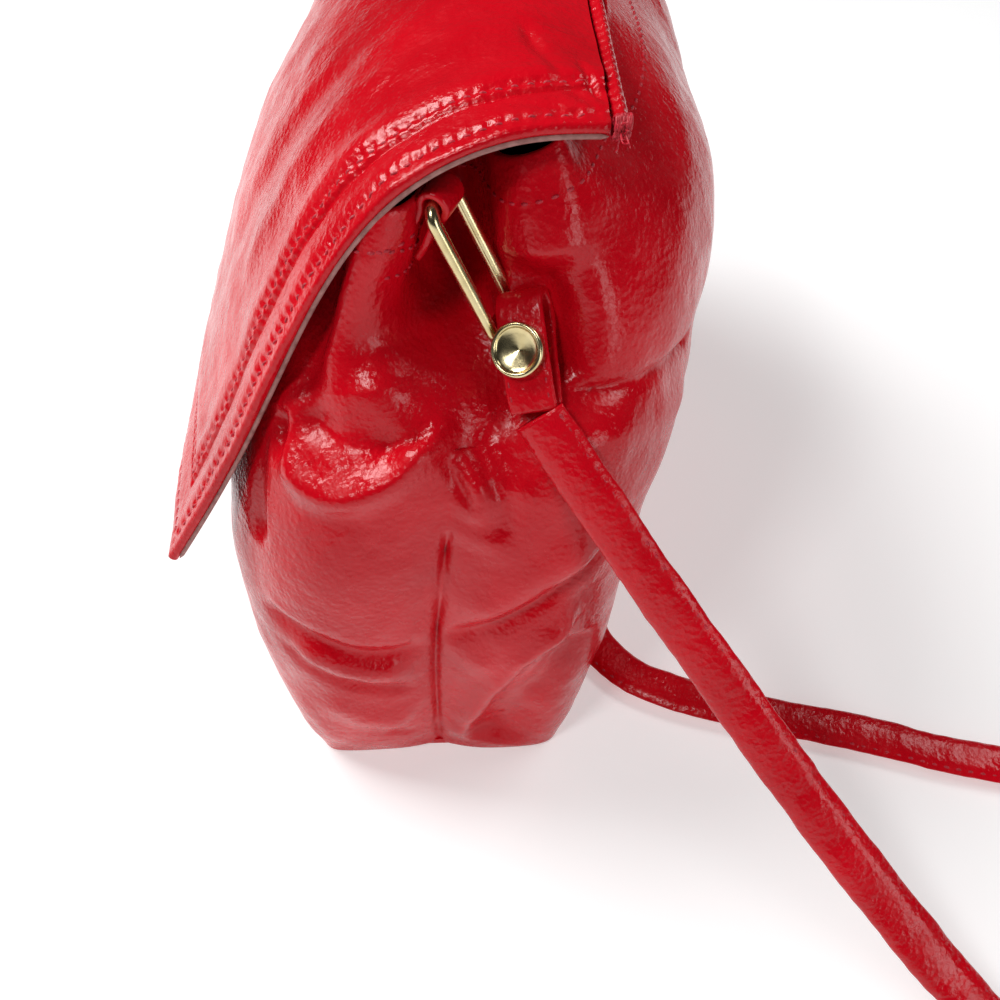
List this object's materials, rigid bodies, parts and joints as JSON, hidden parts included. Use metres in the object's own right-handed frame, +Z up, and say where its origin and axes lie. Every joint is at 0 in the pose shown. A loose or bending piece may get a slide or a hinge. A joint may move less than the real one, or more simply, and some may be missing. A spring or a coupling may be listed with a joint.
{
  "type": "crossbody purse",
  "caption": "Soft leather crossbody purse with a fold-over snap flap, folded gusset ends, long link rings, studded strap ends and a narrow shoulder strap.",
  "frame": {"origin": "middle of the base panel, on the surface the purse stands on", "axes": "+X along the purse's length towards one end, -Y out of the front where the flap hangs, +Z up"},
  "size_m": [0.4038, 0.3496, 0.1814],
  "materials": {
    "red_leather": "glossy smooth leather with a fine grain",
    "lining_cloth": "woven cloth",
    "leatherboard": "pressed fibre board, matte",
    "brass": "polished, pale gold",
    "snap_steel": "nickel-plated"
  },
  "bodies": {
    "body": {"base_panel": "red_leather", "base_board": "leatherboard", "front_panel": "red_leather", "back_panel": "red_leather", "front_facing": "red_leather", "back_facing": "red_leather", "lining": "lining_cloth", "back_seam_welt": "red_leather", "snap_socket": "snap_steel", "snap_socket_plate": "snap_steel", "ring_tab_right": "red_leather", "ring_tab_left": "red_leather", "strap_near": "red_leather", "strap_rear": "red_leather"},
    "flap": {"flap_panel": "red_leather", "flap_border": "red_leather", "flap_stiffener": "leatherboard", "flap_lining": "lining_cloth", "snap_stud": "snap_steel", "snap_stud_plate": "snap_steel"},
    "link_right": {"strap_ring_right": "brass", "strap_end_right": "red_leather", "stud_cap_right": "brass", "stud_screw_right": "brass"},
    "link_left": {"strap_ring_left": "brass", "strap_end_left": "red_leather", "stud_cap_left": "brass", "stud_screw_left": "brass"}
  },
  "joints": [
    {"name": "flap_open", "type": "hinge", "parent": "body", "child": "flap", "pos_m": [0, 0.039, 0.1773], "axis": [-1, 0, 0], "range_deg": [0, 185]},
    {"name": "ring_swing_right", "type": "hinge", "parent": "body", "child": "link_right", "pos_m": [0.092, 0.0058, 0.163], "axis": [0.9205, -0.3838, -0.073], "range_deg": [-10, 14], "deforming": ["strap_near"]},
    {"name": "ring_swing_left", "type": "hinge", "parent": "body", "child": "link_left", "pos_m": [-0.092, 0.0058, 0.163], "axis": [0.9205, 0.3838, 0.073], "range_deg": [-10, 14], "deforming": ["strap_rear"]}
  ]
}
